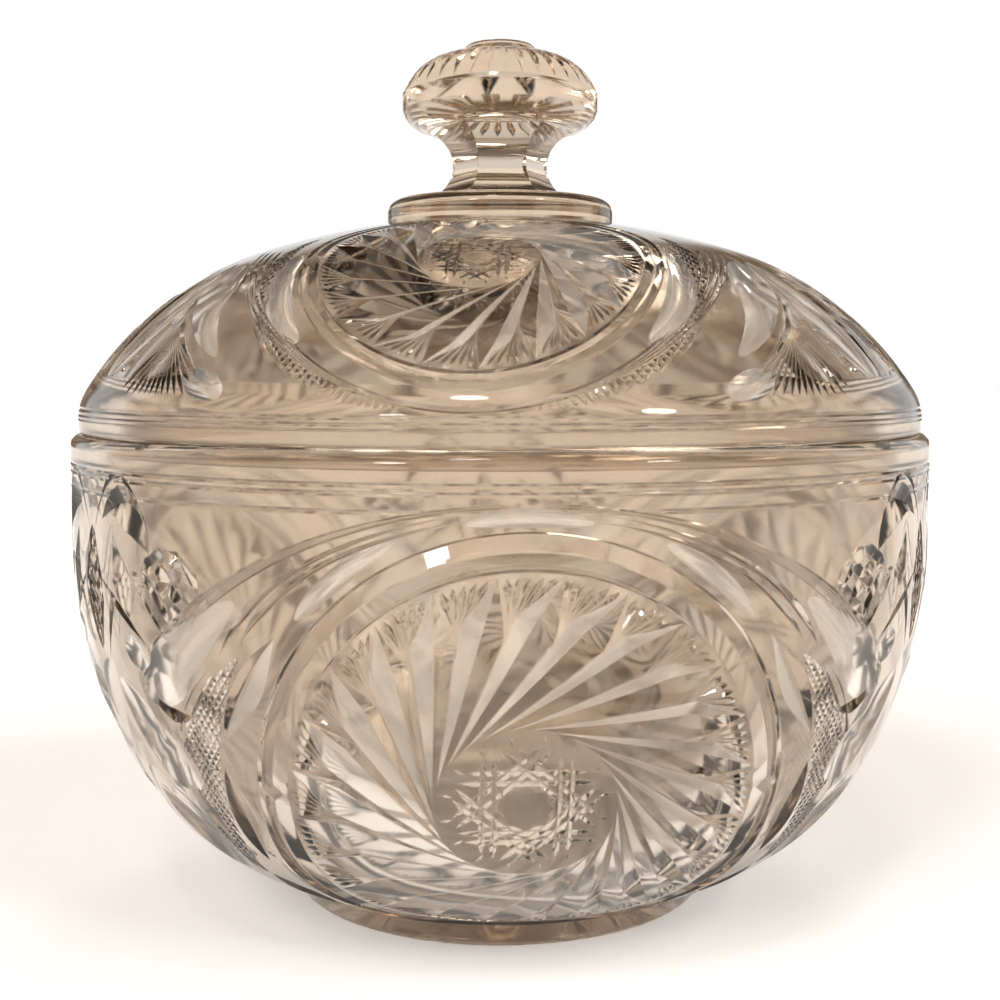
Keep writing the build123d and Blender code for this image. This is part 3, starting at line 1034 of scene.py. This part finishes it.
def stem_cutters(cutters):
    """Across each side of the stem, a cutter with a hollow curve for its inner edge."""
    half = STEM_HEIGHT / 2
    middle = collar_top + half
    far = STEM_RADIUS * OVERSIZE
    hollow = []
    for point in range(SIDE_POINTS):
        up = half * (2 * point / (SIDE_POINTS - 1) - 1) * SIDE_SHARE
        reach = WAIST / 2 + STEM_CURVE - math.sqrt(STEM_CURVE ** 2 - up ** 2)
        hollow.append((reach, middle + up))
    outline = hollow + [(far, hollow[-1][1]), (far, hollow[0][1])]
    for number in range(STEM_SIDES):
        angle = 2 * math.pi * number / STEM_SIDES - math.pi / 2
        out = Vector((math.cos(angle), math.sin(angle), 0))
        sideways = Vector((-math.sin(angle), math.cos(angle), 0))
        cutters.sweep([
            [(out * r + sideways * reach + Vector((0, 0, z))) * MM for r, z in outline]
            for reach in (-far, far)
        ])


def knob_cutters(cutters):
    """Leaves between the knob's plain band and its boss."""
    length = cutters.glass.length
    low, high = length * LEAF_MARGIN, length * (1 - LEAF_MARGIN)
    depth = leaf(LEAF_DEPTH, LEAF_PEAK)
    for number in range(KNOB_LEAVES):
        stations = [
            (0, low + (high - low) * step / LEAF_STEPS, depth(step / LEAF_STEPS))
            for step in range(LEAF_STEPS + 1)
        ]
        cutters.vee(stations, LEAF_LEAN, LEAF_LEAN, 2 * math.pi * number / KNOB_LEAVES)


print("stem", STEM_SIDES, "sides,", WAIST, "mm at the waist, knob", KNOB_LEAVES, "leaves")

# %% [markdown]
# The lid's medallions are the bowl's at seven tenths of the size. Round them the drawing is simpler, because
# the dome narrows, and a spear stands between two surrounds.

# %% The surround and the spear of the lid
LID_LOW = 37.5
LID_ARCS = (43.5, 46, 48.5, 51)
LID_CRESCENT = ((34.5, 6), (37, -12), (28, -26))
LID_FILE = ((12, -6), 31.5)
LID_FILE_INNER = 38.0
LID_PETAL = ((34, -35.5), (53, -19), (51, 2))
LID_PETAL_EDGE = ((58, 0), (60.5, -19), (42, -35.5))
LID_LOBES = [(((43, -35), (55, -31)), 4.0), (((68, -8), (61.5, -21)), 3.5)]
LID_FAN_CUTS = 13
LID_FAN_PITCH = 7.8
LID_FAN_APEX = (61, -22)
LID_FAN_RISE = 13.5
LID_FAN_REACH = 18
SPEAR_BLADE = ((4, 4), (8.5, -16), (5, -33))
SPEAR_FILE = ((10.5, -9), (14.5, -12), (13, -30), (9, -30))


def lid_surround(cutters, turn):
    """Round a medallion of the lid: a crescent with a painted highlight, a file, fine arcs, a petal, and a
    fan.
    """
    for side in (-1, 1):
        cutters.hollow(stroke(side, LID_CRESCENT, swell(1.1)), 5.0, turn)
        file_crescent(cutters, turn, side, LID_FILE_INNER, LID_FILE)
        for radius in LID_ARCS:
            reach = math.degrees(math.acos((radius - LID_LOW + 2) / radius))
            start, end = -90 - side * 4, -90 + side * (reach + 12)
            cutters.vee(bend((0, radius - LID_LOW), radius, start, end, even(0.42)), 1.1, 1.1, turn)
        cutters.hollow(stroke(side, LID_PETAL, drop(2.0)), 9.0, turn)
        cutters.vee(stroke(side, LID_PETAL_EDGE, leaf(0.9, 0.4)), 1.0, 1.4, turn)
        for points, radius in LID_LOBES:
            cutters.hollow(stroke(side, points, swell(1.2)), radius, turn)
        apex = np.array((side * LID_FAN_APEX[0], LID_FAN_APEX[1]))
        for number in range(LID_FAN_CUTS):
            angle = -90 + (number - (LID_FAN_CUTS - 1) / 2) * LID_FAN_PITCH
            reach = min(LID_FAN_RISE / math.cos(math.radians(angle + 90)), LID_FAN_REACH)
            path = along(apex + on_circle(1, angle), apex + on_circle(reach, angle), leaf(0.6, 0.75))
            cutters.vee(path, FAN_LEAN, FAN_LEAN, turn)


def lid_spear(cutters, turn):
    """Between two of the lid's surrounds, a spear with a file on both sides."""
    for side in (-1, 1):
        cutters.hollow(stroke(side, SPEAR_BLADE, swell(1.7)), 5.5, turn)
        diamond_grid(cutters, turn, [(side * x, y) for x, y in SPEAR_FILE], 6, 0.4, 1.0)
    cutters.vee(along((0, 10), (0, -34), leaf(1.2)), 1.6, 1.6, turn)


print("a fan of the lid has", LID_FAN_CUTS, "cuts")

# %% [markdown]
# The lid's pattern is turned a little against the bowl's, as a loose lid is never put back in quite the
# same place.

# %% Cut the lid
LID_SCALE = 0.7
LID_HUB_RUN = 41.5
LID_BLADES = 20
LID_TURN = math.radians(-6.5)
LID_FIELD = 30.0
LID_LINES = (-40.9, -39.9, -38.8)

lid_glass = Glass(lid_outside, LID_HUB_RUN)
lid = turn_mesh("lid_glass", lid_runs)
lid_cutters = Cutters("lid pattern", lid_glass)
for medallion in range(MEDALLIONS):
    turn = 2 * math.pi / MEDALLIONS * medallion + LID_TURN
    pinwheel(lid_cutters, turn, LID_SCALE, LID_BLADES, HUB * LID_SCALE, FORK * LID_SCALE, LID_FIELD)
    hub_star(lid_cutters, turn, LID_SCALE)
    ring_groove(lid_cutters, turn, LID_FIELD + 0.4, 0.7, 0.4, 2.2)
    ring_groove(lid_cutters, turn, FRAME * LID_SCALE + 0.6, 0.45, 3.0, 0.5)
    lid_surround(lid_cutters, turn)
    lid_spear(lid_cutters, turn + math.pi / MEDALLIONS)
turned_lines(lid_cutters, LID_LINES, 0.2, 1.8)
lid_cutters.glass = Glass(knob_crown, 0)
knob_cutters(lid_cutters)
stem_cutters(lid_cutters)
lid_spans = outline_table(lid_runs, [crown_inside, haunch_inside, flange_inside])
cut(lid, lid_cutters, lid_spans, glass)

# %% [markdown]
# ## The glass
# A shader is built by three steps that come back all the time: add a node, set its inputs, join it to what
# came before. They get a short helper first.

# %% Nodes, added and joined
WHITE = (1, 1, 1, 1)


class Nodes:
    """The nodes of a material or of a world."""

    def __init__(self, owner):
        owner.use_nodes = True
        self.tree = owner.node_tree

    def join(self, socket, value):
        """Give a socket a value, or join the output of another node to it."""
        if isinstance(value, bpy.types.NodeSocket):
            self.tree.links.new(value, socket)
        else:
            socket.default_value = value

    def add(self, kind, inputs=None, out=0, **settings):
        """Add a node with its settings, fill its inputs, and return one of its outputs."""
        node = self.tree.nodes.new("ShaderNode" + kind)
        for name, value in settings.items():
            setattr(node, name, value)
        for name, value in (inputs or {}).items():
            self.join(node.inputs[name], value)
        return node.outputs[out]

    def work_out(self, operation, *values):
        """Arithmetic with values and outputs."""
        return self.add("Math", dict(enumerate(values)), operation=operation)

    def blend(self, first, second, share, kind="MIX"):
        """The first colour where the share is 0, the second where it is 1."""
        inputs = {"A": first, "B": second, "Factor": share}
        return self.add("Mix", inputs, "Result", data_type="RGBA", blend_type=kind)


glass_nodes = Nodes(glass)
shader = glass.node_tree.nodes["Principled BSDF"]
print("the glass starts from", len(glass.node_tree.nodes), "nodes")

# %% [markdown]
# The glass is a little warm, and the tint varies slowly, as the melt does. Pale facets get a painted
# highlight, a brighter and slightly milky colour, and deep ones a painted shade of brown. The rest of the
# colour comes from the volume, because a thick foot is darker than a thin rim.

# %% Glass, colour
place = glass_nodes.add("TexCoord", out="Object")
pale, deep, inside = (
    glass_nodes.add("Attribute", out="Fac", attribute_name=name) for name in ("pale", "deep", "inside")
)
cloud = glass_nodes.add("TexNoise", {"Vector": place, "Scale": 22, "Detail": 3})
tint = glass_nodes.blend((0.755, 0.68, 0.595, 1), (0.725, 0.65, 0.565, 1), cloud)
# painted highlight: marked facets get a brighter colour and let less light through; painted shade: brown
painted_highlight_colour = glass_nodes.blend(tint, (1.0, 0.97, 0.93, 1), pale)
painted_shade_colour = glass_nodes.blend(painted_highlight_colour, (0.30, 0.20, 0.13, 1), deep)
glass_nodes.join(shader.inputs["Base Color"], painted_shade_colour)
painted_highlight_milkiness = glass_nodes.work_out("MULTIPLY_ADD", pale, -0.1, 1.0)
glass_nodes.join(shader.inputs["Transmission Weight"], painted_highlight_milkiness)
shader.inputs["IOR"].default_value = 1.52
absorb = glass_nodes.add("VolumeAbsorption", {"Color": (0.80, 0.70, 0.58, 1), "Density": 22})
glass_nodes.join(glass.node_tree.nodes["Material Output"].inputs["Volume"], absorb)
print("glass: index", shader.inputs["IOR"].default_value)

# %% [markdown]
# Fire-polished glass is nearly a mirror, but never quite. The mould leaves a slow waviness, the inside and
# the pale facets are duller, and the foot is scuffed by shelves. Every ridge is slightly rounded, far finer
# than the mesh, so a bevelled normal gives it.

# %% Glass, surface
FOOT_SCUFF = 0.0016
RIDGE_ROUND = 0.0003

haze = glass_nodes.add("TexNoise", {"Vector": place, "Scale": 140})
dull = glass_nodes.add("MapRange", {"Value": haze, "To Min": 0.0, "To Max": 0.06})
dull = glass_nodes.work_out("MULTIPLY_ADD", inside, 0.06, dull)
dull = glass_nodes.work_out("MULTIPLY_ADD", pale, 0.13, dull)
height = glass_nodes.add("SeparateXYZ", {"Vector": place}, "Z")
worn = {"Value": height, "From Min": 0.0, "From Max": FOOT_SCUFF, "To Min": 0.7, "To Max": 0.0}
scuff = glass_nodes.add("MapRange", worn)
dull = glass_nodes.work_out("MULTIPLY_ADD", scuff, haze, dull)
glass_nodes.join(shader.inputs["Roughness"], dull)
ripple = glass_nodes.add("TexNoise", {"Vector": place, "Scale": 55, "Detail": 2})
rounded = glass_nodes.add("Bevel", {"Radius": RIDGE_ROUND}, samples=3)
wave = {"Strength": 0.12, "Distance": 0.001, "Height": ripple, "Normal": rounded}
glass_nodes.join(shader.inputs["Normal"], glass_nodes.add("Bump", wave))
print("the glass has", len(glass.node_tree.nodes), "nodes")

# %% [markdown]
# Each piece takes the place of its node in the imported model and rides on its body, so the lid lifts with
# its joint.

# %% Ride on the frame
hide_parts("jar_body")
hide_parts("lid")
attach(bowl, "jar")
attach(lid, "lid")
print(bowl.name, "and", lid.name, "ride on the frame")

# %% [markdown]
# ## The studio
# Glass shows its surroundings more than itself. The jar stands on a white card, which glows a little where
# it is seen directly or through the glass, but doesn't light the glass from below.

# %% Floor
FLOOR_SIZE = 3.0
CARD_GLOW = 0.18

corners = [(x * FLOOR_SIZE, y * FLOOR_SIZE, 0) for x, y in ((-1, -1), (1, -1), (1, 1), (-1, 1))]
floor_mesh = bpy.data.meshes.new("floor")
floor_mesh.from_pydata(corners, [], [(0, 1, 2, 3)])
floor = bpy.data.objects.new("floor", floor_mesh)
bpy.context.collection.objects.link(floor)
floor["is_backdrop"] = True
white = bpy.data.materials.new("white card")
card_nodes = Nodes(white)
card = white.node_tree.nodes["Principled BSDF"]
card.inputs["Base Color"].default_value = (0.9, 0.9, 0.9, 1)
card.inputs["Roughness"].default_value = 0.9
floor.data.materials.append(white)
seen, mirrored, through = (
    card_nodes.add("LightPath", out="Is " + kind + " Ray") for kind in ("Camera", "Glossy", "Transmission")
)
by_glass = card_nodes.work_out("MAXIMUM", mirrored, through)
glow = card_nodes.work_out("MULTIPLY", card_nodes.work_out("MAXIMUM", seen, by_glass), CARD_GLOW)
card.inputs["Emission Color"].default_value = WHITE
card_nodes.join(card.inputs["Emission Strength"], glow)
print("floor", 2 * FLOOR_SIZE, "m wide")

# %% [markdown]
# The room is white near the floor and warm brown overhead. Round it stand eight soft dark cards, which give
# the facets brown edges to bend and reflect. The camera sees plain white instead, so the backdrop stays
# clean.

# %% Room
DARK_CARDS = 8
CARD_EDGE = (-0.75, 0.05)
CARD_COLOUR = (0.28, 0.20, 0.14, 1)

world = bpy.data.worlds.new("room")
bpy.context.scene.world = world
room = Nodes(world)
direction = room.add("TexCoord", out="Generated")
x, y, z = (room.add("SeparateXYZ", {"Vector": direction}, axis) for axis in "XYZ")
height_tint = room.add("ValToRGB", {"Fac": z}, "Color")
stops = height_tint.node.color_ramp.elements
stops[0].position = 0.25
stops[0].color = WHITE
stops[1].position = 0.5
stops[1].color = (0.55, 0.46, 0.38, 1)
stops.new(1.0).color = (0.24, 0.17, 0.12, 1)
turns = room.work_out("MULTIPLY", room.work_out("ARCTAN2", y, x), DARK_CARDS)
edges = {"Value": room.work_out("COSINE", turns), "From Min": CARD_EDGE[0], "From Max": CARD_EDGE[1]}
gaps = room.add("MapRange", edges, interpolation_type="SMOOTHSTEP")
room_light = room.blend(height_tint, room.blend(CARD_COLOUR, WHITE, gaps), 1, "MULTIPLY")
backdrop = room.blend(room_light, WHITE, room.add("LightPath", out="Is Camera Ray"))
room.join(world.node_tree.nodes["Background"].inputs["Color"], backdrop)
print("the room has", DARK_CARDS, "dark cards")

# %% [markdown]
# Three broad lights make the soft shadow. The glass doesn't mirror them, or each would be a hard disc in
# every facet. Three small windows are mirrored, and make the glints.

# %% Lamps
LAMPS = [
    ("key", (-0.75, -0.8, 0.85), 1.8, 34, (1.0, 0.965, 0.92), False),
    ("fill", (0.9, -0.55, 0.75), 1.6, 34, (1.0, 0.98, 0.95), False),
    ("rim", (0.2, 0.9, 0.8), 0.5, 20, (1.0, 0.96, 0.9), False),
    ("left window", (-0.55, -0.9, 0.5), 0.35, 8, (1.0, 0.97, 0.93), True),
    ("right window", (0.7, -0.8, 0.65), 0.3, 8, (1.0, 0.98, 0.95), True),
    ("top window", (-0.15, -0.6, 1.0), 0.25, 8, (1.0, 0.98, 0.95), True),
]

for name, source, strength, spread, colour, is_mirrored in LAMPS:
    sun = bpy.data.lights.new(name, "SUN")
    sun.energy = strength
    sun.angle = math.radians(spread)
    sun.color = colour
    lamp = bpy.data.objects.new(name, sun)
    lamp.rotation_euler = (-Vector(source)).to_track_quat("-Z", "Y").to_euler()
    lamp.visible_glossy = is_mirrored
    bpy.context.collection.objects.link(lamp)
print(len(LAMPS), "lamps")

# %% [markdown]
# ## The view
# The camera looks slightly down from close by. Light crosses up to eight faces of glass on its way, with a
# reflection at each, so it may bounce often.

# %% Camera
CAMERA_DISTANCE = 312.3
CAMERA_HEIGHT = 111.2
CAMERA_TURN = math.radians(3)
CAMERA_PITCH = math.radians(5.2)
FOCAL_LENGTH = 51.5
BOUNCES = 24

camera_data = bpy.data.cameras.new("camera")
camera_data.lens = FOCAL_LENGTH
camera_data.clip_start = 0.01
camera = bpy.data.objects.new("camera", camera_data)
camera.location = Vector((
    -CAMERA_DISTANCE * math.sin(CAMERA_TURN), -CAMERA_DISTANCE * math.cos(CAMERA_TURN), CAMERA_HEIGHT,
)) * MM
camera.rotation_euler = (math.pi / 2 - CAMERA_PITCH, 0, -CAMERA_TURN)
bpy.context.collection.objects.link(camera)
bpy.context.scene.camera = camera
bpy.context.scene.view_settings.view_transform = "Standard"
bpy.context.scene.cycles.max_bounces = BOUNCES
bpy.context.scene.cycles.transmission_bounces = BOUNCES
print("camera", round(camera.location.length / MM), "mm from the foot's middle")

# %% [markdown]
# Last, the box of the glass is written down. It has to agree with the imported model's.

# %% Size
low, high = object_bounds()
print("the visual model is", [round((b - a) / MM, 1) for a, b in zip(low, high)], "mm")
